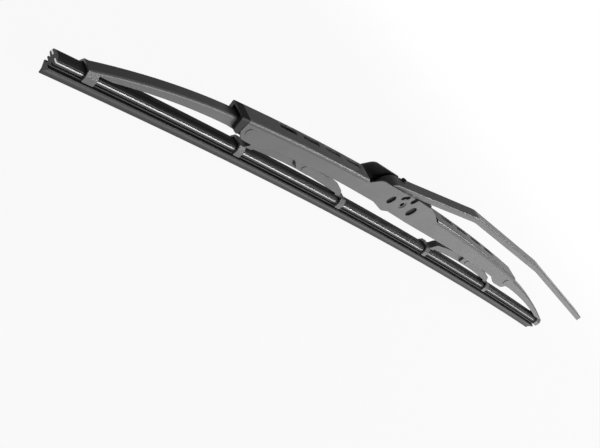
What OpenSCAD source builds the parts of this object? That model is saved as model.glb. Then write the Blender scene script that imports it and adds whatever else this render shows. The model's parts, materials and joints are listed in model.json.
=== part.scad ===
// Bracket-type windscreen wiper blade, joined to the hooked end of its arm.
// Frame: the origin is the centre of the pivot pin, X runs along the blade,
// Y is the pin's axis and Z points up to the arm, away from the glass.

/* [Blade] */
// Half the distance between the two outer claws
outer_claw = 261.5; // [240:1:280]
// Distance of each middle claw from the blade's middle
mid_claw = 153.5; // [148:0.5:158]
// Distance of each inner claw from the blade's middle
inner_claw = 55; // [52:0.5:60]
// Rubber left beyond the first outer claw
near_overhang = 20; // [12:1:30]
// Rubber left beyond the last outer claw
far_overhang = 7; // [5:0.5:12]
// Radius to which the springy backing bows the free rubber
bow_radius = 5100; // [4000:100:9000]
// Distance of the pivot pin from the blade's middle
pin_shift = 14; // [0:1:20]
// Height of the pivot pin above the backing strips at the blade's middle
pin_height = 22; // [21.5:0.1:23]

/* [Rubber] */
// Width of the rubber's crowned head
head_w = 8.3; // [7.8:0.1:8.6]
// Height of the crown above the backing strips' middle
head_h = 2.6; // [2.3:0.1:2.8]
// Width of the flange under the backing strips
flange_w = 9.2; // [8.6:0.1:9.4]
// Underside of that flange, below the backing strips' middle
flange_low = 1.6; // [1.4:0.1:1.8]
// Width of the rib that stops the lip's tilt
rib_w = 6.8; // [6:0.1:7.4]
// Width of the wedge's shoulder
wedge_w = 6.6; // [6:0.1:7.4]
// Width of the thin hinge between rib and wedge
hinge_w = 1.2; // [0.8:0.1:1.6]
// Depth of the lip's edge below the backing strips' middle
lip_depth = 11; // [10:0.1:12]
// Width of the lip's wiping edge
lip_w = 0.7; // [0.5:0.1:1]

/* [Backing strips] */
// Thickness of each steel backing strip
spine_t = 0.9; // [0.7:0.05:1]
// Width of each backing strip
spine_w = 3; // [2.6:0.1:3.1]
// Outer edge of each backing strip, measured from the middle plane
spine_edge = 4.45; // [4.3:0.05:4.5]

/* [Claws] */
// Length of an outer claw along the blade
claw_l = 7; // [5:0.5:9]
// Length of a yoke's claw along the blade
yoke_claw_l = 5; // [4:0.5:7]
// Sheet thickness of the bows and claws
bow_t = 1; // [0.8:0.1:1.1]
// Clearance between a claw and the rubber or backing inside it
claw_gap = 0.15; // [0.1:0.05:0.3]
// Reach of each jaw under the rubber's flange
jaw_reach = 1.1; // [0.8:0.1:1.3]

/* [Main lever] */
// Half length of the main lever
main_half = 168.5; // [167:0.5:172]
// Outer width of the main lever
main_w = 14; // [13:0.1:15]
// Sheet thickness of the main lever
main_t = 1; // [0.9:0.1:1.2]
// Radius of the main lever's arched back
main_radius = 1850; // [1700:10:2000]
// Height of the main lever's back above the pin, at the lever's middle
main_top = 4.1; // [3.8:0.1:4.6]
// Depth of the left half's side walls next to the ears
main_depth_left = 12.1; // [11.8:0.1:12.4]
// Depth of the right half's side walls next to the ears
main_depth_right = 13.5; // [13.2:0.1:13.8]
// Depth of the side walls where the end lobes begin
main_end_depth = 10.8; // [10:0.1:11.2]
// Lowest point of the end lobes, below the rivet's centre
lobe_drop = 5.8; // [5:0.1:6]
// Length of each end lobe
lobe_l = 22; // [20:1:26]
// Bend radius of the main lever's long edges
main_bend = 1.6; // [1.4:0.1:2]

/* [Ears] */
// Half length of the open back between the ears
ear_half = 43.5; // [40:0.5:46]
// Height of each ear's lower half above the pin
ear_h = 7.4; // [7:0.1:8]
// How much higher that half's top is next to the arm's cut
ear_rise = 1; // [0:0.1:1.4]
// Height of the near ear's other half above the pin
near_brow_h = 8.5; // [8:0.1:9]
// Height of the far ear's other half above the pin
far_brow_h = 9.5; // [9:0.1:10]
// Diameter of the hollow pivot pin
pin_d = 5.6; // [5:0.1:6]
// Bore of the hollow pivot pin
pin_bore = 3.4; // [3:0.1:3.8]
// How far the pin's ends lie inside the ears' faces
pin_recess = 0.5; // [0.2:0.1:0.8]
// Distance of the tall ear slots from the pin
ear_slot_x = 12.6; // [11.5:0.1:14]
// Width of the smaller tall slot
ear_slot_w = 5.1; // [3:0.1:5.5]
// Height of the smaller tall slot
ear_slot_h = 7; // [6.4:0.1:8]
// How much wider and higher the other tall slot is
ear_slot_more = 1.2; // [0:0.1:1.6]

/* [Back slots] */
// Number of wind slots in each half of the back
slot_count = 4; // [2:1:4]
// Distance from one wind slot to the next in the left half
slot_pitch_left = 20.9; // [20:0.1:21.5]
// Distance from one wind slot to the next in the right half
slot_pitch_right = 23.8; // [23:0.1:25]
// Length of a wind slot in the left half
slot_l_left = 14.8; // [12:0.1:17]
// Length of a wind slot in the right half
slot_l_right = 17; // [12:0.1:19]
// Width of the wind slots
slot_w = 4.3; // [3.8:0.1:4.6]
// Distance of the left row's inner end from the blade's middle
slot_start_left = 62.5; // [61:0.5:68]
// Distance of the right row's inner end from the blade's middle
slot_start_right = 41.7; // [36:0.1:44]

/* [Bows] */
// Distance of the main rivets from the main lever's ends
rivet_inset = 6.5; // [6:0.5:8]
// Height of the main rivets below the pin
main_rivet_drop = 10; // [9.9:0.1:10.4]
// Diameter of the main rivets
main_rivet_d = 4; // [3.6:0.1:4.2]
// Outer width of a bow
bow_w = 8.6; // [8.4:0.1:8.6]
// Distance from a main rivet inwards to the bow's highest point
bow_apex_back = 27; // [25:0.5:30]
// Height of a bow's highest point above the backing strips
bow_apex = 16.5; // [16.3:0.1:16.8]
// Depth of a bow's side walls next to the main rivet
bow_depth = 6.8; // [6.2:0.1:7.2]
// Depth of a bow's side walls at its outer claw
bow_tip_depth = 3.4; // [3:0.1:4]
// Reach of a bow's inner end beyond the yoke's rivet
bow_reach = 8.2; // [7:0.1:10]

/* [Yokes] */
// Outer width of a yoke
yoke_w = 5.2; // [5:0.1:5.3]
// Sheet thickness of a yoke
yoke_t = 0.9; // [0.8:0.1:1]
// Height of a yoke's back above the backing strips
yoke_h = 12; // [11.9:0.1:12.3]
// Radius of a yoke's arched back
yoke_back_r = 225; // [210:5:260]
// Depth of a yoke's side walls at its rivet
yoke_depth = 6; // [5.6:0.1:6.2]
// Depth of a yoke's side walls at its claws
yoke_end_depth = 3.4; // [3:0.1:4]
// Height of a yoke's rivet above the backing strips
yoke_rivet_h = 9.4; // [9.2:0.1:9.5]
// Diameter of the yoke rivets
yoke_rivet_d = 2.6; // [2.4:0.1:2.8]
// Angle at which a yoke's shoulders fall to its claws
yoke_fall = 58; // [50:1:62]

/* [Arm] */
// Width of the arm's flat bar
arm_w = 9.6; // [9:0.1:9.8]
// Thickness of the arm's flat bar
arm_t = 4.4; // [4:0.1:4.6]
// Outer radius of the hook
hook_r = 9.2; // [9:0.1:9.4]
// Distance of the hook's bend centre behind the pin
hook_x = 14.3; // [13:0.1:15]
// Length of the hook's lower leg
hook_leg = 20; // [16:0.5:22]
// Slope at which the arm climbs from the hook
arm_climb = 6.7; // [6:0.1:7.5]
// Length of the climbing run
arm_run_1 = 90.5; // [85:0.5:95]
// Slope at which the arm falls after its first bend
arm_fall_1 = 3.3; // [2.8:0.1:3.8]
// Length of the middle run
arm_run_2 = 113.5; // [105:0.5:120]
// Slope at which the arm falls after its second bend
arm_fall_2 = 7.9; // [7:0.1:8.2]
// Length of the last run, up to where the arm is cut
arm_run_3 = 124; // [60:1:140]

/* [Hidden] */
$fn = 64;
// Points on each rounded corner of an outline
corner_steps = 6;
// Facets along each arched piece
bend_steps = 36;
// Largest turn of a path between two stations
turn_step = 6;
// Running clearance on each side of a part that turns
run_gap = 0.08;
// Clearance round a part that is fixed in its seat
seat_gap = 0.05;
// More than any width or height, for cuts that go right through
far = 60;

blade_z = -pin_height;
groove_gap = 0.05;

steel_paint = [0.34, 0.34, 0.35];
arm_paint = [0.22, 0.22, 0.23];
bright_steel = [0.78, 0.78, 0.76];
black_plastic = [0.06, 0.06, 0.07];
black_rubber = [0.16, 0.16, 0.17];

// Outline helpers

function unit2(v) = v / norm(v);

// Points of the round that replaces corner b between a and c
function corner_arc(a, b, c, r) =
    let (
        va = unit2(a - b),
        vc = unit2(c - b),
        half = acos(va * vc) / 2,
        centre = b + unit2(va + vc) * r / sin(half),
        first = b + va * r / tan(half) - centre,
        last = b + vc * r / tan(half) - centre,
        turn = (first[0] * last[1] - first[1] * last[0] > 0 ? 1 : -1) * (180 - 2 * half)
    )
    [for (i = [0 : corner_steps])
        let (s = turn * i / corner_steps)
        centre + [first[0] * cos(s) - first[1] * sin(s), first[0] * sin(s) + first[1] * cos(s)]];

// Closed outline of corners [x, y, radius], with each corner rounded to its radius
function rounded(corners) =
    let (n = len(corners), p = [for (c = corners) [c[0], c[1]]])
    [for (i = [0 : n - 1])
        each corners[i][2] > 0
            ? corner_arc(p[(i + n - 1) % n], p[i], p[(i + 1) % n], corners[i][2])
            : [p[i]]];

function backwards(list) = [for (i = [len(list) - 1 : -1 : 0]) list[i]];

// The same points on the other side of the first or the second axis
function flip_x(points) = backwards([for (p = points) [-p[0], p[1]]]);
function flip_y(points) = backwards([for (p = points) [p[0], -p[1]]]);

// Stations [x, z, heading] of a path whose steps are [length, turn down, radius]
function stations(steps, x = 0, z = 0, h = 0, i = 0) =
    i >= len(steps) ? [[x, z, h]] :
    let (
        l = steps[i][0],
        turn = steps[i][1],
        r = turn > 0 ? steps[i][2] : -steps[i][2],
        x1 = x + l * cos(h),
        z1 = z - l * sin(h),
        n = ceil(abs(turn) / turn_step) + 1,
        at = function (a) [x1 + r * (sin(a) - sin(h)), z1 + r * (cos(a) - cos(h)), a],
        last = at(h + turn)
    )
    concat(
        l > 0 ? [[x, z, h]] : [],
        turn == 0 ? [] : [for (j = [0 : n - 1]) at(h + turn * j / n)],
        stations(steps, last[0], last[1], h + turn, i + 1));

// Outline points at a depth under a path
function under(path, depth) = [for (s = path) [s[0] - depth * sin(s[2]), s[1] - depth * cos(s[2])]];

// Solid that a closed section leaves along a path. In a section the first value is up from
// the path and the second is across it.
module sweep(path, section) {
    n = len(section);
    m = len(path);
    polyhedron(
        points = [for (s = path) for (p = section)
            [s[0] + p[0] * sin(s[2]), p[1], s[1] + p[0] * cos(s[2])]],
        faces = concat(
            [[for (j = [0 : n - 1]) j]],
            [for (i = [0 : m - 2]) for (j = [0 : n - 1])
                [i * n + j, (i + 1) * n + j, (i + 1) * n + (j + 1) % n, i * n + (j + 1) % n]],
            [[for (j = [n - 1 : -1 : 0]) (m - 1) * n + j]]));
}

// A section along one arc about a far axis, from one distance to another along X. The arc's
// highest point is at the origin.
module arched(r, x0, x1) {
    a0 = asin(x0 / r);
    a1 = asin(x1 / r);
    translate([0, 0, -r]) rotate([90, a1 - 90, 0])
        rotate_extrude(angle = a1 - a0, $fn = ceil(bend_steps * 360 / (a1 - a0)))
            translate([r, 0]) children();
}

// Upright outline in X and Z, extruded to both sides of the middle plane
module side_plate(w) {
    rotate([90, 0, 0]) translate([0, 0, -w / 2]) linear_extrude(w) children();
}

module cross_hole(x, z, d) {
    translate([x, 0, z]) rotate([90, 0, 0]) cylinder(d = d, h = far, center = true);
}

// Channel section, open below, of width w and wall t, with rounded upper edges
function channel(w, depth, t, r) =
    let (in_r = max(r - t, 0.2))
    rounded([
        [-depth, -w / 2, 0], [0, -w / 2, r], [0, w / 2, r], [-depth, w / 2, 0],
        [-depth, w / 2 - t, 0], [-t, w / 2 - t, in_r],
        [-t, t - w / 2, in_r], [-depth, t - w / 2, 0]]);

// Puts children into the frame of the blade: its middle, at the backing strips
module blade_frame() {
    translate([pin_shift, 0, blade_z]) children();
}

// Puts children into the frame of the lever: the blade's middle, at the pin's height
module lever_frame() {
    translate([pin_shift, 0, 0]) children();
}

// Copies a right-hand piece to the left of the blade's middle
module left_of_middle() {
    translate([pin_shift, 0, 0]) mirror([1, 0, 0]) translate([-pin_shift, 0, 0]) children();
}

// Fall of the bowed backing line at a distance from the blade's middle
function bow_fall(x) = bow_radius - sqrt(bow_radius * bow_radius - x * x);

// Puts children on the bowed backing line, turned to follow it
module on_blade(x) {
    translate([x, 0, -bow_fall(x)]) rotate([0, asin(x / bow_radius), 0]) children();
}

// Rubber and its backing strips

neck_w = 2 * (spine_edge - spine_w - groove_gap);
groove_h = spine_t / 2 + groove_gap;
head_edge = 1.3;
rib_top = 2.9;
rib_low = 3.7;
wedge_top = 5.2;
wedge_low = 5.9;
rubber_start = -outer_claw - near_overhang;
rubber_end = outer_claw + far_overhang;

rubber_half = concat(
    [[head_h, 0]],
    rounded([
        [head_h, 0, 0], [head_h, head_w * 0.26, 3], [head_edge, head_w / 2, 0.5],
        [groove_h, head_w / 2, 0.2], [groove_h, neck_w / 2, 0],
        [-groove_h, neck_w / 2, 0], [-groove_h, flange_w / 2 - 0.1, 0.1],
        [-1.1, flange_w / 2, 0.2], [-flange_low, flange_w / 2 - 0.5, 0.2],
        [-flange_low - 0.35, 1.8, 0.4], [-rib_top + 0.3, 1.7, 0.3],
        [-rib_top, rib_w / 2, 0.2], [-rib_low, rib_w / 2 - 0.2, 0.2],
        [-rib_low - 0.3, hinge_w / 2, 0.25], [-wedge_top + 0.1, hinge_w / 2, 0.25],
        [-wedge_top, wedge_w / 2 - 0.3, 0.2], [-wedge_low, wedge_w / 2, 0.4],
        [-lip_depth + 2.2, 0.85, 1.5], [-lip_depth, lip_w / 2, 0]]));

function whole(half) = concat(half, flip_y(half));

module rubber_strip() {
    color(black_rubber) blade_frame() arched(bow_radius, rubber_start, rubber_end)
        polygon(concat([for (i = [1 : len(rubber_half) - 1]) rubber_half[i]],
            flip_y([for (i = [2 : len(rubber_half) - 1]) rubber_half[i]])));
}

// One backing strip, on the side of the middle plane that the sign names
module spine(side) {
    color(bright_steel) blade_frame() arched(bow_radius, rubber_start, rubber_end)
        translate([-spine_t / 2, side > 0 ? spine_edge - spine_w : -spine_edge])
            square([spine_t, spine_w]);
}

// Claws and the room they leave for the rubber

claw_in_w = flange_w + 2 * claw_gap;
claw_out_w = claw_in_w + 2 * bow_t;
saddle_in = head_h + claw_gap;
saddle_out = saddle_in + bow_t;
jaw_in = flange_low + claw_gap;
jaw_out = jaw_in + 0.9;
saddle_half = 3.2;

claw_half = [
    [saddle_half + 0.9, saddle_out], [claw_out_w / 2, 0.9],
    [claw_out_w / 2, -jaw_out], [claw_in_w / 2 - jaw_reach, -jaw_out],
    [claw_in_w / 2 - jaw_reach, -jaw_in], [claw_in_w / 2, -jaw_in],
    [claw_in_w / 2, 0.7], [saddle_half, saddle_in]];

// C-shaped claw that holds the rubber's head and backing strips
module claw(x, l) {
    on_blade(x) rotate([90, 0, 90]) linear_extrude(l, center = true)
        polygon(concat(claw_half, flip_x(claw_half)));
}

// What a lever's walls leave free for the rubber under a claw's saddle
module rubber_room() {
    arched(bow_radius, -outer_claw - far / 2, outer_claw + far / 2)
        translate([-far / 2, -far / 4]) square([far / 2 + saddle_in + bow_t / 2, far / 2]);
}

// Main lever

function main_back(x) = main_top - (main_radius - sqrt(main_radius * main_radius - x * x));

rivet_z = -main_rivet_drop;
main_rivet_x = main_half - rivet_inset;
// Length of the slope that leads from the low edge to an end lobe
lobe_slope = 9;
lobe_start = main_half - lobe_l - lobe_slope + 3;
lobe_end_h = 4.5;

// Height of the main lever's low edge at a part s of the way to the end lobe
function low_edge(depth, s) =
    main_top - depth - (main_top - depth - main_back(lobe_start) + main_end_depth) * pow(s, 4);

// One half of the main lever's outline, from eighths of its low edge's length to its end
function half_outline(depth, first) = concat(
    [for (i = [first : 7])
        [i / 8 * lobe_start, low_edge(depth, i / 8)]],
    rounded([
        [lobe_start, low_edge(depth, 1), 0],
        [lobe_start + lobe_slope, rivet_z - lobe_drop, 10],
        [main_half - 5, rivet_z - lobe_drop, 5],
        [main_half, rivet_z - lobe_drop + lobe_end_h, 2],
        [main_half, far / 2, 0]]));

// Dip of the low edge left of the pin, where its two halves of different depth meet
dip_x = -25;
dip_h = 1.2;
dip_rise = 0.5;
main_outline = concat(
    flip_x(half_outline(main_depth_left, 3)),
    rounded([
        [dip_x - 13, low_edge(main_depth_left, 0.2), 0],
        [dip_x, main_top - main_depth_right - dip_h, 4],
        [dip_x + 6, main_top - main_depth_right + dip_rise, 4],
        [dip_x + 30, low_edge(main_depth_right, 0), 0]]),
    half_outline(main_depth_right, 1));

ear_low = -6.6;
// How far an ear's two faces lie inside the side wall's faces
ear_inset = 0.02;
// Height at which an ear starts from the cut back
ear_foot = 2;

// Outline of an ear: low half, the step over the arm's cut, and a high half of its own shape
function ear_outline(brow) = rounded(concat(
    [[-ear_half - 2, ear_low - 1, 0], [-ear_half - 2, 0, 0], [-ear_half - 0.5, ear_foot, 0],
     [-ear_half + 1.9, ear_foot, 1.5], [-ear_half + 8.9, ear_h, 9], [-20, ear_h, 20],
     [5, ear_h + ear_rise, 0]],
    brow,
    [[ear_half + 0.5, ear_foot, 0], [ear_half + 2, 0, 0], [ear_half + 2, ear_low - 1, 0]]));

near_brow = [
    [7.2, near_brow_h, 1.5], [27, near_brow_h - 0.3, 14], [35.5, near_brow_h - 2.5, 10],
    [ear_half - 1.5, ear_foot + 0.8, 3]];
far_brow = [
    [7.2, far_brow_h, 1.5], [ear_half - 6.5, far_brow_h, 9], [ear_half + 0.2, ear_foot + 1, 0]];

// Slot with round ends, upright, centred
module tall_slot(w, h) {
    square([w, h - w], center = true);
    for (s = [-1, 1]) translate([0, s * (h - w) / 2]) circle(d = w);
}

// Curved slot about the pin, between two angles, with round ends
module crescent(r, w, a0, a1) {
    arc = [for (i = [0 : 10]) a0 + (a1 - a0) * i / 10];
    cap = [for (i = [1 : 7]) 180 * i / 8];
    polygon(concat(
        [for (a = arc) (r + w / 2) * [cos(a), sin(a)]],
        [for (b = cap) r * [cos(a1), sin(a1)] + w / 2 * [cos(a1 + b), sin(a1 + b)]],
        backwards([for (a = arc) (r - w / 2) * [cos(a), sin(a)]]),
        [for (b = cap) r * [cos(a0), sin(a0)] - w / 2 * [cos(a0 + b), sin(a0 + b)]]));
}

ear_slot_z = -0.7;
ear_slot_lean = 19.5;
crescent_r = 6.8;
crescent_w = 2.9;
cut_foot = [5.1, 5.8];
cut_w = 4;
cut_lean = 20;

module ear_holes() {
    for (s = [-1, 1]) translate([s * ear_slot_x, ear_slot_z]) rotate(-ear_slot_lean)
        tall_slot(ear_slot_w + (s > 0 ? ear_slot_more * 0.7 : 0),
            ear_slot_h + (s > 0 ? ear_slot_more : 0));
    crescent(crescent_r, crescent_w, 106, 142);
    translate(cut_foot) rotate(-cut_lean) {
        circle(d = cut_w);
        translate([-cut_w / 2, 0]) square([cut_w, far / 2]);
    }
}

// One ear's plate, as seen from the side it faces, with its high half on the right
module ear(brow) {
    translate([0, (main_t - main_w) / 2, 0]) side_plate(main_t - 2 * ear_inset) difference() {
        polygon(ear_outline(brow));
        ear_holes();
    }
}

// Far edge of the wind slots
slot_far = main_w / 2 - 2.2;

// Wind slot, seen from above: straight far edge, round at its far right corner
module wind_slot(l) {
    polygon(rounded([
        [0, slot_far, 0.6], [l, slot_far, slot_w - 0.7],
        [l, slot_far - slot_w, 0.5], [0, slot_far - slot_w, 0.6]]));
}

module wind_slots() {
    for (i = [0 : slot_count - 1]) {
        translate([-slot_start_left - slot_l_left - i * slot_pitch_left, 0]) wind_slot(slot_l_left);
        translate([slot_start_right + i * slot_pitch_right, 0]) wind_slot(slot_l_right);
    }
}

module main_lever() {
    color(steel_paint) difference() {
        union() {
            difference() {
                lever_frame() intersection() {
                    translate([0, 0, main_top]) arched(main_radius, -main_half, main_half)
                        polygon(channel(main_w, far / 2, main_t, main_bend));
                    side_plate(far) polygon(main_outline);
                }
                translate([-ear_half, -far / 2, ear_low]) cube([2 * ear_half, far, far]);
            }
            ear(near_brow);
            rotate(180) ear(far_brow);
        }
        lever_frame() translate([0, 0, rivet_z]) linear_extrude(far) wind_slots();
        cross_hole(0, 0, pin_d + 2 * seat_gap);
        for (s = [-1, 1])
            cross_hole(pin_shift + s * main_rivet_x, rivet_z, main_rivet_d + 2 * seat_gap);
    }
}

module pivot_pin() {
    color(steel_paint) difference() {
        rotate([90, 0, 0]) cylinder(d = pin_d, h = main_w - 2 * pin_recess, center = true);
        cross_hole(0, 0, pin_bore);
    }
}

// Plastic collar between the main lever's end and the bow

// How far the left collar's black nose stands out of the lever
left_lip = 6;
collar_inner = 17;
// How far a collar without a nose ends inside the lever
collar_recess = 0.5;
collar_roof = 0.8;
liner_round = 0.6;
// Height of the collar's low edge above the end lobe's
collar_low = 1.2;
lobe_low = rivet_z - lobe_drop;

module collar(lip) {
    liner_w = main_w - 2 * main_t - 2 * run_gap;
    roof_drop = main_t + run_gap + collar_roof;
    lip_start = main_half + run_gap;
    liner_end = main_half + (lip > 0 ? 1 : -collar_recess);
    color(black_plastic) lever_frame() difference() {
        union() {
            if (lip > 0) intersection() {
                translate([0, 0, main_top]) arched(main_radius, lip_start, main_half + 2 * lip)
                    polygon(rounded([
                        [-far / 2, -main_w / 2, 0], [0, -main_w / 2, main_bend],
                        [0, main_w / 2, main_bend], [-far / 2, main_w / 2, 0]]));
                side_plate(far) polygon(rounded([
                    [main_half, lobe_low + collar_low, 0],
                    [main_half + 0.6 * lip, lobe_low + collar_low + 1, 2],
                    [main_half + lip, main_back(main_half) - 1.5, 2.5],
                    [main_half + lip - 1.5, far, 0], [main_half, far, 0]]));
            }
            intersection() {
                translate([0, 0, main_top - main_t - run_gap])
                    arched(main_radius - main_t - run_gap, main_half - collar_inner, liner_end)
                        polygon(rounded([
                            [-far / 2, -liner_w / 2, 0], [0, -liner_w / 2, liner_round],
                            [0, liner_w / 2, liner_round], [-far / 2, liner_w / 2, 0]]));
                side_plate(far) polygon(rounded([
                    [main_half - far, lobe_low + collar_low, 0],
                    [main_half, lobe_low + collar_low, lip > 0 ? 0 : 3],
                    [main_half, lobe_low + far, 0], [main_half + far, lobe_low + far, 0],
                    [main_half + far, far, 0], [main_half - far, far, 0]]));
            }
        }
        side_plate(bow_w + 2 * run_gap) polygon([
            [main_half - collar_inner - 1, -far],
            [main_half - collar_inner - 1, main_back(main_half - collar_inner) - roof_drop],
            [main_half, main_back(main_half) - roof_drop],
            [main_half + far, main_back(main_half) - roof_drop], [main_half + far, -far]]);
        cross_hole(main_rivet_x, rivet_z, main_rivet_d + 2 * seat_gap);
    }
}

rivet_head = 0.35;

module rivet(x, z, d, w) {
    color(steel_paint) translate([x, 0, z]) rotate([90, 0, 0]) {
        cylinder(d = d, h = w + 2 * rivet_head, center = true);
        for (s = [-1, 1]) translate([0, 0, s * (w + rivet_head + seat_gap) / 2])
            cylinder(d = d + 1.2, h = rivet_head - seat_gap, center = true);
    }
}

module main_rivet_right() {
    rivet(pin_shift + main_rivet_x, rivet_z, main_rivet_d, main_w);
}

// Bow: one claw at its tip, a pivot in the middle and the yoke's pivot at its inner end

bow_tip = outer_claw + claw_l / 2;
bow_apex_x = main_rivet_x - bow_apex_back;
// Drop and run of a bow's arched back, from its highest point to the top of its claw
bow_drop = bow_apex - saddle_out + bow_fall(bow_tip);
bow_run = bow_tip - bow_apex_x;
bow_back_r = (bow_run * bow_run + bow_drop * bow_drop) / (2 * bow_drop);

function bow_back(x) =
    bow_apex - bow_back_r + sqrt(bow_back_r * bow_back_r - (x - bow_apex_x) * (x - bow_apex_x));

bow_rivet_h = pin_height - main_rivet_drop;
yoke_x = (mid_claw + inner_claw) / 2;
yoke_half = (mid_claw - inner_claw) / 2;
bow_inner_end = yoke_x - bow_reach;
yoke_rivet_z = yoke_rivet_h - bow_fall(yoke_x);
bow_pad_low = yoke_rivet_z - 2.7;
bow_mid_low = yoke_rivet_z + 1.6;
bow_rivet_low = bow_rivet_h - 4.4;
bow_tail = main_rivet_x + 14;

bow_outline = concat(
    rounded([
        [bow_tip, far / 2, 0], [bow_inner_end, far / 2, 0], [bow_inner_end, bow_pad_low, 2.5],
        [yoke_x + 4.5, bow_pad_low, 3], [yoke_x + 11, bow_mid_low, 4],
        [main_rivet_x - 16, bow_mid_low, 4], [main_rivet_x - 9, bow_rivet_low, 3],
        [main_rivet_x + 8, bow_rivet_low, 0]]),
    [for (i = [0 : 8])
        let (x = bow_tail + (bow_tip - bow_tail) * i / 8)
        [x, bow_back(x) - bow_depth + (bow_depth - bow_tip_depth) * i / 8]]);

module bow_right() {
    color(steel_paint) blade_frame() {
        difference() {
            intersection() {
                translate([bow_apex_x, 0, bow_apex])
                    arched(bow_back_r, bow_inner_end - bow_apex_x, bow_tip - bow_apex_x)
                        polygon(channel(bow_w, far / 4, bow_t, 1.4));
                side_plate(far) polygon(bow_outline);
            }
            rubber_room();
            cross_hole(main_rivet_x, bow_rivet_h, main_rivet_d + 2 * run_gap);
            cross_hole(yoke_x, yoke_rivet_z, yoke_rivet_d + 2 * seat_gap);
        }
        claw(outer_claw, claw_l);
    }
}

// Plastic bush between a bow's inner end and the yoke's side walls
module bow_bush_right() {
    out_w = bow_w - 2 * bow_t - 2 * run_gap;
    in_w = yoke_w + 2 * run_gap;
    top = yoke_rivet_z + 4;
    roof = 0.7;
    start = bow_inner_end + 0.3;
    end = yoke_x + 9.5;
    color(black_plastic) blade_frame() difference() {
        side_plate(out_w) polygon(rounded([
            [start, bow_pad_low + 0.8, 1], [end, bow_pad_low + 0.8, 2],
            [end, top, 0.5], [start, top, 0.5]]));
        side_plate(in_w) translate([start - 1, 0]) square([end - start + 2, top - roof]);
        cross_hole(yoke_x, yoke_rivet_z, yoke_rivet_d + 2 * seat_gap);
    }
}

module yoke_rivet_right() {
    rivet(pin_shift + yoke_x, blade_z + yoke_rivet_z, yoke_rivet_d, bow_w);
}

// Yoke: an arched channel with a claw at each end

// Part of a yoke's half length that its shoulder and foot take up
yoke_slope_l = 9;
yoke_arc = asin((yoke_half - yoke_slope_l) / yoke_back_r);
yoke_shoulder_r = 6;
yoke_foot_r = 3;
yoke_leg = (yoke_h - saddle_out + bow_fall(yoke_half)
    - yoke_back_r * (1 - cos(yoke_arc))
    - yoke_shoulder_r * (cos(yoke_arc) - cos(yoke_fall))
    - yoke_foot_r * (1 - cos(yoke_fall))) / sin(yoke_fall);
yoke_foot_x = yoke_half - yoke_slope_l + yoke_shoulder_r * (sin(yoke_fall) - sin(yoke_arc))
    + yoke_leg * cos(yoke_fall) + yoke_foot_r * sin(yoke_fall);

yoke_path = stations([
    [0, yoke_arc, yoke_back_r], [0, yoke_fall - yoke_arc, yoke_shoulder_r],
    [yoke_leg, -yoke_fall, yoke_foot_r], [yoke_half + yoke_claw_l / 3 - yoke_foot_x, 0, 0]]);

// Side outline from a depth under the yoke's back down to its low edge, or below by some extra
module yoke_outline(upper, extra) {
    top = under(yoke_path, upper);
    low = [for (s = yoke_path)
        let (part = min(1, s[0] / yoke_half))
        under([s], yoke_depth - (yoke_depth - yoke_end_depth) * part * part + extra)[0]];
    polygon(concat(flip_x(top), [for (i = [1 : len(top) - 1]) top[i]],
        backwards([for (i = [1 : len(low) - 1]) low[i]]),
        [for (i = [0 : len(low) - 1]) [-low[i][0], low[i][1]]]));
}

module yoke_right() {
    color(steel_paint) blade_frame() {
        difference() {
            on_blade(yoke_x) translate([0, 0, yoke_h]) difference() {
                side_plate(yoke_w) yoke_outline(0, 0);
                side_plate(yoke_w - 2 * yoke_t) yoke_outline(yoke_t, 1);
            }
            rubber_room();
            cross_hole(yoke_x, yoke_rivet_z, yoke_rivet_d + 2 * run_gap);
        }
        claw(mid_claw, yoke_claw_l);
        claw(inner_claw, yoke_claw_l);
    }
}

// Arm: a flat bar whose end hooks round the adapter

hook_z = 0.2;
bend_1_r = 40;
bend_2_r = 60;
stud_x = -5.5;
stud_y = 2.3;
stud_d = 3.1;
stud_head_d = 4.2;
stud_stand = 1;
stud_dome = 0.5;

arm_path = stations([
    [hook_leg, 180 - arm_climb, hook_r],
    [arm_run_1, arm_climb + arm_fall_1, bend_1_r],
    [arm_run_2, arm_fall_2 - arm_fall_1, bend_2_r],
    [arm_run_3, 0, 0]], hook_leg - hook_x, hook_z - hook_r, 180);

arm_section = rounded([
    [0, -arm_w / 2, 0.9], [0, arm_w / 2, 0.9], [-arm_t, arm_w / 2, 0.5], [-arm_t, -arm_w / 2, 0.5]]);

// Puts children on the arm's upper face at the stud, square to the face
module on_arm_face() {
    translate([-hook_x, 0, hook_z]) rotate([0, -arm_climb, 0])
        translate([hook_x + stud_x, stud_y, hook_r]) children();
}

module wiper_arm() {
    color(arm_paint) difference() {
        sweep(arm_path, arm_section);
        on_arm_face() cylinder(d = stud_d + 0.4, h = 3 * arm_t, center = true);
    }
}

// Adapter: plastic block that clips on the pin and fills the hook

adapter_w = main_w - 2 * main_t - 0.6;
adapter_r = hook_r - arm_t - claw_gap;
adapter_end = 26;
// Underside of the adapter's block beside the end of the hook's leg
block_low = -6.6;

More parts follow.
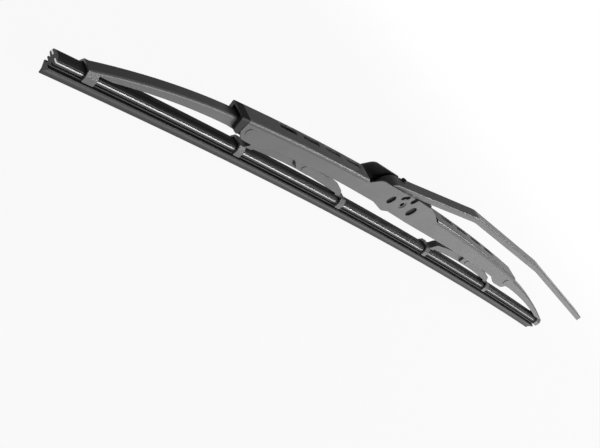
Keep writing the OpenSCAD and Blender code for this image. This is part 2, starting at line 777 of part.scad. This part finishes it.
module adapter() {
    rise = (adapter_end + hook_x) * tan(arm_climb);
    block_start = hook_leg - hook_x + 0.6;
    color(black_plastic) difference() {
        union() {
            translate([-hook_x, 0, hook_z]) rotate([90, 0, 0])
                cylinder(r = adapter_r, h = adapter_w, center = true);
            side_plate(adapter_w) polygon(concat(
                [[-hook_x - adapter_r * sin(arm_climb), hook_z + adapter_r * cos(arm_climb)],
                 [-hook_x, hook_z - adapter_r]],
                rounded([
                    [block_start, hook_z - adapter_r, 0], [block_start, block_low, 1],
                    [adapter_end - 2, block_low, 2],
                    [adapter_end, hook_z + adapter_r + rise - 1, 1.5],
                    [adapter_end - 1, hook_z + adapter_r / cos(arm_climb) + rise, 0],
                    [0, hook_z + adapter_r / cos(arm_climb) + hook_x * tan(arm_climb), 0]])));
            on_arm_face() translate([0, 0, -arm_t - 1])
                cylinder(d = stud_d, h = arm_t + 1 + stud_stand / 2);
            on_arm_face() translate([0, 0, seat_gap])
                cylinder(d = stud_head_d, h = stud_stand - seat_gap);
            on_arm_face() translate([0, 0, stud_stand])
                cylinder(d1 = stud_head_d, d2 = stud_head_d - 3 * stud_dome, h = stud_dome);
        }
        cross_hole(0, 0, pin_d + 2 * run_gap);
        side_plate(far) translate([-pin_d * 0.4, -far]) square([pin_d * 0.8, far]);
        translate([hook_leg - hook_x + 1, 0, hook_z + 1]) rotate([0, -arm_climb, 0])
            side_plate(far) square([adapter_end, 1]);
    }
}

rubber_strip();
spine(1);  // spine_near
spine(-1);  // spine_far
main_lever();
pivot_pin();
left_of_middle() collar(left_lip);  // left_collar
collar(0);  // right_collar
left_of_middle() main_rivet_right();  // left_main_rivet
main_rivet_right();  // right_main_rivet
left_of_middle() bow_right();  // left_bow
bow_right();  // right_bow
left_of_middle() bow_bush_right();  // left_bow_bush
bow_bush_right();  // right_bow_bush
left_of_middle() yoke_rivet_right();  // left_yoke_rivet
yoke_rivet_right();  // right_yoke_rivet
left_of_middle() yoke_right();  // left_yoke
yoke_right();  // right_yoke
adapter();
wiper_arm();
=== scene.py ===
import json
import math

import bmesh
import bpy
from mathutils import Matrix, Vector


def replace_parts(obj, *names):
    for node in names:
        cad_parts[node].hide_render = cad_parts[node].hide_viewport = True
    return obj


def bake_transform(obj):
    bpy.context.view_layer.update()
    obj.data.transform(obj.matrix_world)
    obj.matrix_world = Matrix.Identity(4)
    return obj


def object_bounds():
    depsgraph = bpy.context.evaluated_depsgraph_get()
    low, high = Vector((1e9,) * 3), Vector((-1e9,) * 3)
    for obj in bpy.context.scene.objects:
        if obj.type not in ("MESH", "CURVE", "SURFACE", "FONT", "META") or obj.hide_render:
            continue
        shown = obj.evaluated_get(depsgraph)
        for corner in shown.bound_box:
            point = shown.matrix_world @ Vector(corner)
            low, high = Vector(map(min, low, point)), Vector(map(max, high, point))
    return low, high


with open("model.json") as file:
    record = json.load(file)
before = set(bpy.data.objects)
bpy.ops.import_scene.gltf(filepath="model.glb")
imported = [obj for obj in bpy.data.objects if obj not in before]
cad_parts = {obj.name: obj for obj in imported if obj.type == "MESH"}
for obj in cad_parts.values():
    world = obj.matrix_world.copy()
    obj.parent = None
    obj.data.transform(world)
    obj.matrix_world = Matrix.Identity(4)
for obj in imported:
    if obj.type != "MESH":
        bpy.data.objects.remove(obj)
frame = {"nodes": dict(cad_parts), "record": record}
cad_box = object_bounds()
NODES = frame["nodes"]
scene = bpy.context.scene


# Places on the part that the looks follow, in metres

MIDDLE = Vector((0.014, 0, -0.022))  # the blade's middle, between the backing strips
STRIP_RADIUS = 5.1                   # the strips' free curve
LEFT_END, RIGHT_END = -0.2815, 0.2685
BACK_TOP, BACK_RADIUS = 0.0041, 1.85  # the main lever's arched back
EAR_HALF = 0.0437
# Box between the ears that gets painted shade
EAR_SHADE_BOX = (0.0436, 0.00605, -0.0064)  # half length, half width and low side
BOW_CUT = 0.0962                     # the bows' inner ends, from the blade's middle
FLOOR_GAP = 0.0005


# Node materials

class Nodes:
    """A short way to build a procedural material."""

    def __init__(self, name):
        self.mat = bpy.data.materials.new(name)
        self.mat.use_nodes = True
        self.tree = self.mat.node_tree
        self.tree.nodes.clear()
        self.out = self.tree.nodes.new("ShaderNodeOutputMaterial")
        self.bsdf = self.tree.nodes.new("ShaderNodeBsdfPrincipled")
        self.tree.links.new(self.bsdf.outputs[0], self.out.inputs["Surface"])

    def add(self, kind, **props):
        node = self.tree.nodes.new(kind)
        for key, value in props.items():
            setattr(node, key, value)
        return node

    def link(self, a, b):
        self.tree.links.new(a, b)

    def object_coords(self, scale=(1, 1, 1)):
        coords = self.add("ShaderNodeTexCoord")
        mapping = self.add("ShaderNodeMapping")
        mapping.inputs["Scale"].default_value = scale
        self.link(coords.outputs["Object"], mapping.inputs["Vector"])
        return mapping.outputs["Vector"]

    def position(self):
        coords = self.add("ShaderNodeTexCoord")
        split = self.add("ShaderNodeSeparateXYZ")
        self.link(coords.outputs["Object"], split.inputs[0])
        return split.outputs

    def math(self, operation, a, b):
        """One arithmetic node; each input is another node's output or a number."""
        node = self.add("ShaderNodeMath", operation=operation)
        for socket, value in zip(node.inputs, (a, b)):
            if isinstance(value, (int, float)):
                socket.default_value = value
            else:
                self.link(value, socket)
        return node.outputs[0]

    def noise(self, vector, scale, detail=3.0, rough=0.5):
        node = self.add("ShaderNodeTexNoise")
        node.inputs["Scale"].default_value = scale
        node.inputs["Detail"].default_value = detail
        node.inputs["Roughness"].default_value = rough
        self.link(vector, node.inputs["Vector"])
        return node.outputs["Fac"]

    def ramp(self, fac, stops):
        """Grey levels or colours at given places from 0 to 1."""
        node = self.add("ShaderNodeValToRGB")
        elements = node.color_ramp.elements
        while len(elements) < len(stops):
            elements.new(0.5)
        for element, (pos, value) in zip(elements, stops):
            element.position = pos
            if isinstance(value, (int, float)):
                value = (value, value, value)
            element.color = (*value, 1.0)
        self.link(fac, node.inputs["Fac"])
        return node.outputs["Color"]

    def blend_colour(self, fac, a, b):
        mix = self.add("ShaderNodeMix", data_type="RGBA")
        self.link(fac, mix.inputs[0])
        self.link(a, mix.inputs[6])
        self.link(b, mix.inputs[7])
        return mix.outputs[2]

    def bevel(self, radius):
        node = self.add("ShaderNodeBevel", samples=6)
        node.inputs["Radius"].default_value = radius
        return node.outputs["Normal"]

    def bump(self, height, strength, distance, edge=0.0):
        """Bump from a height, over edges rounded to a radius where one is given."""
        node = self.add("ShaderNodeBump")
        node.inputs["Strength"].default_value = strength
        node.inputs["Distance"].default_value = distance
        self.link(height, node.inputs["Height"])
        if edge:
            self.link(self.bevel(edge), node.inputs["Normal"])
        self.link(node.outputs["Normal"], self.bsdf.inputs["Normal"])

    # Mask for sheet edges painted lighter: partly wear, partly a painted highlight
    def edge_wear_and_highlight(self, radius, grain):
        """1 on a sharp edge, 0 on the faces, broken up by a grain."""
        geometry = self.add("ShaderNodeNewGeometry")
        dot = self.add("ShaderNodeVectorMath", operation="DOT_PRODUCT")
        self.link(self.bevel(radius), dot.inputs[0])
        self.link(geometry.outputs["Normal"], dot.inputs[1])
        edge = self.ramp(dot.outputs["Value"], [(0.88, 1.0), (0.985, 0.0)])
        return self.math("MULTIPLY", edge, grain)

    def inside_box(self, half_x, half_y, low_z):
        """1 within an upright box about the object's origin, 0 outside it."""
        x, y, z = self.position()
        in_x = self.math("LESS_THAN", self.math("ABSOLUTE", x, 0.0), half_x)
        in_y = self.math("LESS_THAN", self.math("ABSOLUTE", y, 0.0), half_y)
        above = self.math("GREATER_THAN", z, low_z)
        return self.math("MULTIPLY", self.math("MULTIPLY", in_x, in_y), above)

    def depth_under_arc(self, centre, top, radius):
        """Depth in centimetres under an arched back."""
        x, _, z = self.position()
        off = self.math("SUBTRACT", x, centre)
        fall = self.math("MULTIPLY", self.math("MULTIPLY", off, off), 0.5 / radius)
        depth = self.math("SUBTRACT", top, self.math("ADD", z, fall))
        return self.math("MULTIPLY", depth, 100.0)


def painted(name, edge_light, rough, painted_bend_shade=False, shaded_between_ears=False, cut=False):
    """Semi-gloss dark grey paint: faint cloudiness, orange peel and sheet edges painted lighter,
    partly as wear and partly as a painted highlight.

    A piece with bend shade gets a painted dark line under the bend along its arched back, clear
    of the ears: a painted dark reflection on the rounded corner.
    A piece with shade between the ears gets painted shade there, a near-black colour in a box
    between them. A cut one shows bare steel where its sheet end was cut after painting.
    """
    grey = 0.19
    m = Nodes(name)
    here = m.object_coords()
    cloud = m.noise(here, 55.0, 4.0)
    fine = m.noise(here, 900.0, 3.0, 0.6)
    shade = [(place, tuple(grey * level * tint for tint in (1, 1, 1.02)))
             for place, level in ((0.3, 0.93), (0.7, 1.06))]
    base = m.ramp(cloud, shade)
    grain = m.ramp(m.noise(here, 320.0, 4.0), [(0.35, 0.35), (0.65, 1.0)])
    light = m.ramp(fine, [(0.3, edge_light * 0.85), (0.7, edge_light)])
    # Sharp edges painted lighter, partly as wear and partly as a painted highlight
    paint = m.blend_colour(m.edge_wear_and_highlight(0.00035, grain), base, light)
    # Painted dark reflection: a dark line under the bend along the arched back, away from the
    # ears
    if painted_bend_shade:
        depth = m.depth_under_arc(MIDDLE.x, BACK_TOP, BACK_RADIUS)
        bend_shade = m.ramp(depth, [(0.13, 0.0), (0.17, 0.7), (0.22, 0.7), (0.28, 0.0)])
        away = m.math("GREATER_THAN", m.math("ABSOLUTE", m.position()[0], 0.0), EAR_HALF)
        dark = m.ramp(cloud, [(0.3, 0.04), (0.7, 0.05)])
        paint = m.blend_colour(m.math("MULTIPLY", bend_shade, away), paint, dark)
    # Painted shade: near-black colour in the box between the ears
    if shaded_between_ears:
        ear_shade = m.ramp(cloud, [(0.3, 0.012), (0.7, 0.022)])
        paint = m.blend_colour(m.inside_box(*EAR_SHADE_BOX), paint, ear_shade)
    if cut:
        off = m.math("SUBTRACT", m.position()[0], MIDDLE.x)
        bare = m.math("LESS_THAN", m.math("ABSOLUTE", off, 0.0), BOW_CUT)
        paint = m.blend_colour(bare, paint, m.ramp(fine, [(0.3, 0.7), (0.7, 0.82)]))
        m.link(bare, m.bsdf.inputs["Metallic"])
    m.link(paint, m.bsdf.inputs["Base Color"])
    gloss = m.ramp(fine, [(0.3, rough - 0.03), (0.7, rough + 0.04)])
    m.link(gloss, m.bsdf.inputs["Roughness"])
    m.bsdf.inputs["Coat Weight"].default_value = 0.6
    m.bsdf.inputs["Coat Roughness"].default_value = 0.22
    m.bump(fine, 0.05, 0.00003, 0.0003)
    return m.mat


def moulded(name):
    """Black plastic with a fine spark-eroded grain."""
    m = Nodes(name)
    here = m.object_coords()
    fine = m.noise(here, 2600.0, 2.0)
    broad = m.noise(here, 90.0, 3.0)
    m.link(m.ramp(broad, [(0.3, 0.012), (0.7, 0.02)]), m.bsdf.inputs["Base Color"])
    m.link(m.ramp(broad, [(0.3, 0.42), (0.7, 0.5)]), m.bsdf.inputs["Roughness"])
    m.bump(fine, 0.35, 0.00005, 0.0003)
    return m.mat


def rolled_steel(name):
    """Bright strip steel, streaked along its length."""
    m = Nodes(name)
    streak = m.noise(m.object_coords((1.5, 900, 900)), 3.0, 3.0)
    m.link(m.ramp(streak, [(0.3, 0.55), (0.7, 0.72)]), m.bsdf.inputs["Base Color"])
    m.link(m.ramp(streak, [(0.3, 0.24), (0.7, 0.36)]), m.bsdf.inputs["Roughness"])
    m.bsdf.inputs["Metallic"].default_value = 1.0
    m.bump(streak, 0.2, 0.00002)
    return m.mat


def rubber(name):
    """Extruded rubber: fine draw lines along it and a patchy graphite bloom."""
    m = Nodes(name)
    lines = m.noise(m.object_coords((1.5, 400, 400)), 2.0, 1.0)
    bloom = m.noise(m.object_coords((14, 80, 80)), 2.0, 5.0)
    m.link(m.ramp(bloom, [(0.35, 0.016), (0.7, 0.04)]), m.bsdf.inputs["Base Color"])
    m.link(m.ramp(bloom, [(0.3, 0.36), (0.7, 0.48)]), m.bsdf.inputs["Roughness"])
    m.bump(lines, 0.1, 0.00004, 0.0002)
    return m.mat


BY_SLOT = {
    "lever_paint": painted("lever_paint", 0.34, 0.36),
    "arm_paint": painted("arm_paint", 0.3, 0.34),
    "black_plastic": moulded("black_plastic"),
    "bright_steel": rolled_steel("bright_steel"),
    "black_rubber": rubber("black_rubber"),
}
# The main lever's paint carries a painted dark reflection under its back and painted shade
# between its ears
main_paint = painted("main_paint", 0.34, 0.36, painted_bend_shade=True, shaded_between_ears=True)
bow_paint = painted("bow_paint", 0.34, 0.36, cut=True)
BY_NODE = {"main_lever": main_paint, "left_bow": bow_paint, "right_bow": bow_paint}

for entry in frame["record"]["subparts"]:
    node = entry["node"]
    obj = NODES[node]
    obj.data.materials.clear()
    obj.data.materials.append(BY_NODE.get(node, BY_SLOT[entry["material_slot"]]))


# Rubber and backing strips, in two halves

def corner_arc(a, b, c, r, steps):
    """Points on the arc of radius r that rounds the corner b between a and c."""
    va, vc = (a - b).normalized(), (c - b).normalized()
    half = math.acos(max(-1.0, min(1.0, va.dot(vc)))) / 2
    centre = b + (va + vc).normalized() * (r / math.sin(half))
    first = b + va * (r / math.tan(half)) - centre
    last = b + vc * (r / math.tan(half)) - centre
    sign = 1 if first.x * last.y - first.y * last.x > 0 else -1
    turn = sign * (math.pi - 2 * half)
    out = []
    for i in range(steps + 1):
        s = turn * i / steps
        spun = Vector((first.x * math.cos(s) - first.y * math.sin(s),
                       first.x * math.sin(s) + first.y * math.cos(s)))
        out.append(centre + spun)
    return out


def rounded(corners, steps):
    """Open row of points whose corners (up, across, radius) are rounded, in millimetres."""
    points = [Vector((up, across)) for up, across, _ in corners]
    out = []
    for i, (_, _, radius) in enumerate(corners):
        if radius > 0:
            out += corner_arc(points[i - 1], points[i], points[i + 1], radius, steps)
        else:
            out.append(points[i])
    return out


def strip_half(label, side, end, section, slot):
    """A closed section, in mm, swept along the strips' curve from the middle to one end."""
    stations = 72
    n = len(section)
    verts, faces = [], []
    for i in range(stations + 1):
        a = math.asin(end * i / stations / STRIP_RADIUS)
        for up, across in section:
            r = STRIP_RADIUS + up / 1000
            place = Vector((r * math.sin(a), across / 1000, r * math.cos(a) - STRIP_RADIUS))
            verts.append(MIDDLE + place)
    for i in range(stations):
        for j in range(n):
            k = (j + 1) % n
            faces.append((i * n + j, i * n + k, (i + 1) * n + k, (i + 1) * n + j))
    faces.append(tuple(range(n - 1, -1, -1)))
    faces.append(tuple(stations * n + j for j in range(n)))
    name = label + "_" + side
    mesh = bpy.data.meshes.new(name)
    mesh.from_pydata(verts, [], faces)
    mesh.update()
    work = bmesh.new()
    work.from_mesh(mesh)
    bmesh.ops.recalc_face_normals(work, faces=work.faces)
    work.to_mesh(mesh)
    work.free()
    mesh.shade_smooth()
    mesh.set_sharp_from_angle(angle=math.radians(32))
    mesh.materials.append(BY_SLOT[slot])
    piece = bpy.data.objects.new(name, mesh)
    scene.collection.objects.link(piece)
    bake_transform(piece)
    return piece


def steel_section(side):
    corners = [(0.45, 1.45, 0), (0.45, 4.45, 0.22), (-0.45, 4.45, 0.22), (-0.45, 1.45, 0)]
    return [(p.x, side * p.y) for p in rounded(corners, 5)]


rubber_profile = rounded([
    (2.6, 0, 0), (2.6, 2.158, 3), (1.3, 4.15, 0.5), (0.5, 4.15, 0.2), (0.5, 1.4, 0.12),
    (-0.5, 1.4, 0.12), (-0.5, 4.5, 0.1), (-1.1, 4.6, 0.2), (-1.6, 4.1, 0.2),
    (-1.95, 1.8, 0.4), (-2.6, 1.7, 0.3), (-2.9, 3.4, 0.2), (-3.7, 3.2, 0.2),
    (-4.0, 0.6, 0.25), (-5.1, 0.6, 0.25), (-5.2, 3.0, 0.2), (-5.9, 3.3, 0.4),
    (-8.8, 0.85, 1.5), (-11.0, 0.35, 0)], 6)
rubber_section = ([(p.x, p.y) for p in rubber_profile]
                  + [(p.x, -p.y) for p in reversed(rubber_profile[1:])])

# Each strip: label, section, material slot and the node it stands for.
STRIPS = (
    ("rubber", rubber_section, "black_rubber", "rubber_strip"),
    ("near_steel", steel_section(-1), "bright_steel", "spine_near"),
    ("far_steel", steel_section(1), "bright_steel", "spine_far"),
)
for side, end in (("left", LEFT_END), ("right", RIGHT_END)):
    for label, section, slot, node in STRIPS:
        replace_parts(strip_half(label, side, end, section, slot), node)


# Stage, lights and camera

def white_where_seen(name, albedo, near, far):
    """A pale surface that the camera and mirrors see as white, with a soft shadow by the object.

    near and far are the share of white close to the object and away from it.
    """
    m = Nodes(name)
    mottle = m.noise(m.object_coords(), 30.0, 2.0)
    m.link(m.ramp(mottle, [(0.3, albedo * 0.99), (0.7, albedo)]), m.bsdf.inputs["Base Color"])
    m.bsdf.inputs["Roughness"].default_value = 0.9
    coords = m.add("ShaderNodeTexCoord")
    length = m.add("ShaderNodeVectorMath", operation="LENGTH")
    m.link(coords.outputs["Object"], length.inputs[0])
    fade = m.add("ShaderNodeMapRange", interpolation_type="SMOOTHSTEP")
    m.link(length.outputs["Value"], fade.inputs["Value"])
    fade.inputs["From Min"].default_value = 0.3
    fade.inputs["From Max"].default_value = 0.9
    fade.inputs["To Min"].default_value = near
    fade.inputs["To Max"].default_value = far
    path = m.add("ShaderNodeLightPath")
    seen = m.math("MAXIMUM", path.outputs["Is Camera Ray"], path.outputs["Is Glossy Ray"])
    glow = m.add("ShaderNodeEmission")
    glow.inputs["Color"].default_value = (1, 1, 1, 1)
    mix = m.add("ShaderNodeMixShader")
    m.link(m.math("MULTIPLY", seen, fade.outputs["Result"]), mix.inputs["Fac"])
    m.link(m.bsdf.outputs[0], mix.inputs[1])
    m.link(glow.outputs[0], mix.inputs[2])
    m.link(mix.outputs[0], m.out.inputs["Surface"])
    return m.mat


FLOOR_HALF = 6.0
floor_mesh = bpy.data.meshes.new("floor")
floor_mesh.from_pydata([(-FLOOR_HALF, -FLOOR_HALF, 0), (FLOOR_HALF, -FLOOR_HALF, 0),
                        (FLOOR_HALF, FLOOR_HALF, 0), (-FLOOR_HALF, FLOOR_HALF, 0)],
                       [], [(0, 1, 2, 3)])
floor_mesh.materials.append(white_where_seen("floor_white", 0.8, 0.93, 1.0))
floor = bpy.data.objects.new("floor", floor_mesh)
scene.collection.objects.link(floor)
floor.location = (0, 0, Vector(cad_box[0]).z - FLOOR_GAP)

# The camera sees a white world, which lights the object only faintly.
world = bpy.data.worlds.new("studio")
scene.world = world
world.use_nodes = True
tree = world.node_tree
tree.nodes.clear()
path = tree.nodes.new("ShaderNodeLightPath")
mix = tree.nodes.new("ShaderNodeMixShader")
tree.links.new(path.outputs["Is Camera Ray"], mix.inputs["Fac"])
for socket, strength in ((mix.inputs[1], 0.07), (mix.inputs[2], 1.0)):
    sky = tree.nodes.new("ShaderNodeBackground")
    sky.inputs["Color"].default_value = (1, 1, 1, 1)
    sky.inputs["Strength"].default_value = strength
    tree.links.new(sky.outputs[0], socket)
world_out = tree.nodes.new("ShaderNodeOutputWorld")
tree.links.new(mix.outputs[0], world_out.inputs["Surface"])


def area_light(name, place, target, size, radiance):
    """A soft rectangular lamp of a given brightness, which sets its power by its size."""
    light = bpy.data.lights.new(name, "AREA")
    light.shape = "RECTANGLE"
    light.size, light.size_y = size
    light.energy = math.pi * size[0] * size[1] * radiance
    obj = bpy.data.objects.new(name, light)
    scene.collection.objects.link(obj)
    obj.location = place
    look = Vector(target) - Vector(place)
    obj.rotation_euler = look.to_track_quat("-Z", "Y").to_euler()


area_light("key", (0.25, -0.85, 0.14), (0.05, 0, 0), (0.8, 0.5), 3.7)
area_light("edge", (1.05, -0.42, 0.72), (0.05, 0, 0), (1.5, 0.12), 12.0)
area_light("rear", (1.7, 1.15, 0.22), (0.1, 0, 0), (1.8, 0.4), 0.45)

# The photograph's camera, as found by calibration
camera_data = bpy.data.cameras.new("camera")
camera_data.sensor_width = 36.0
camera_data.lens = 65.27
camera_data.clip_start = 0.01
camera = bpy.data.objects.new("camera", camera_data)
scene.collection.objects.link(camera)
right = Vector((0.5627, -0.3666, 0.7410))
down = Vector((0.2845, -0.7557, -0.5899))
forward = Vector((0.7762, 0.5427, -0.3209))
turn = Matrix((right, -down, -forward)).transposed()
camera.matrix_world = Matrix.Translation((-0.5639, -0.3636, 0.1650)) @ turn.to_4x4()
scene.camera = camera
scene.view_settings.view_transform = "Standard"
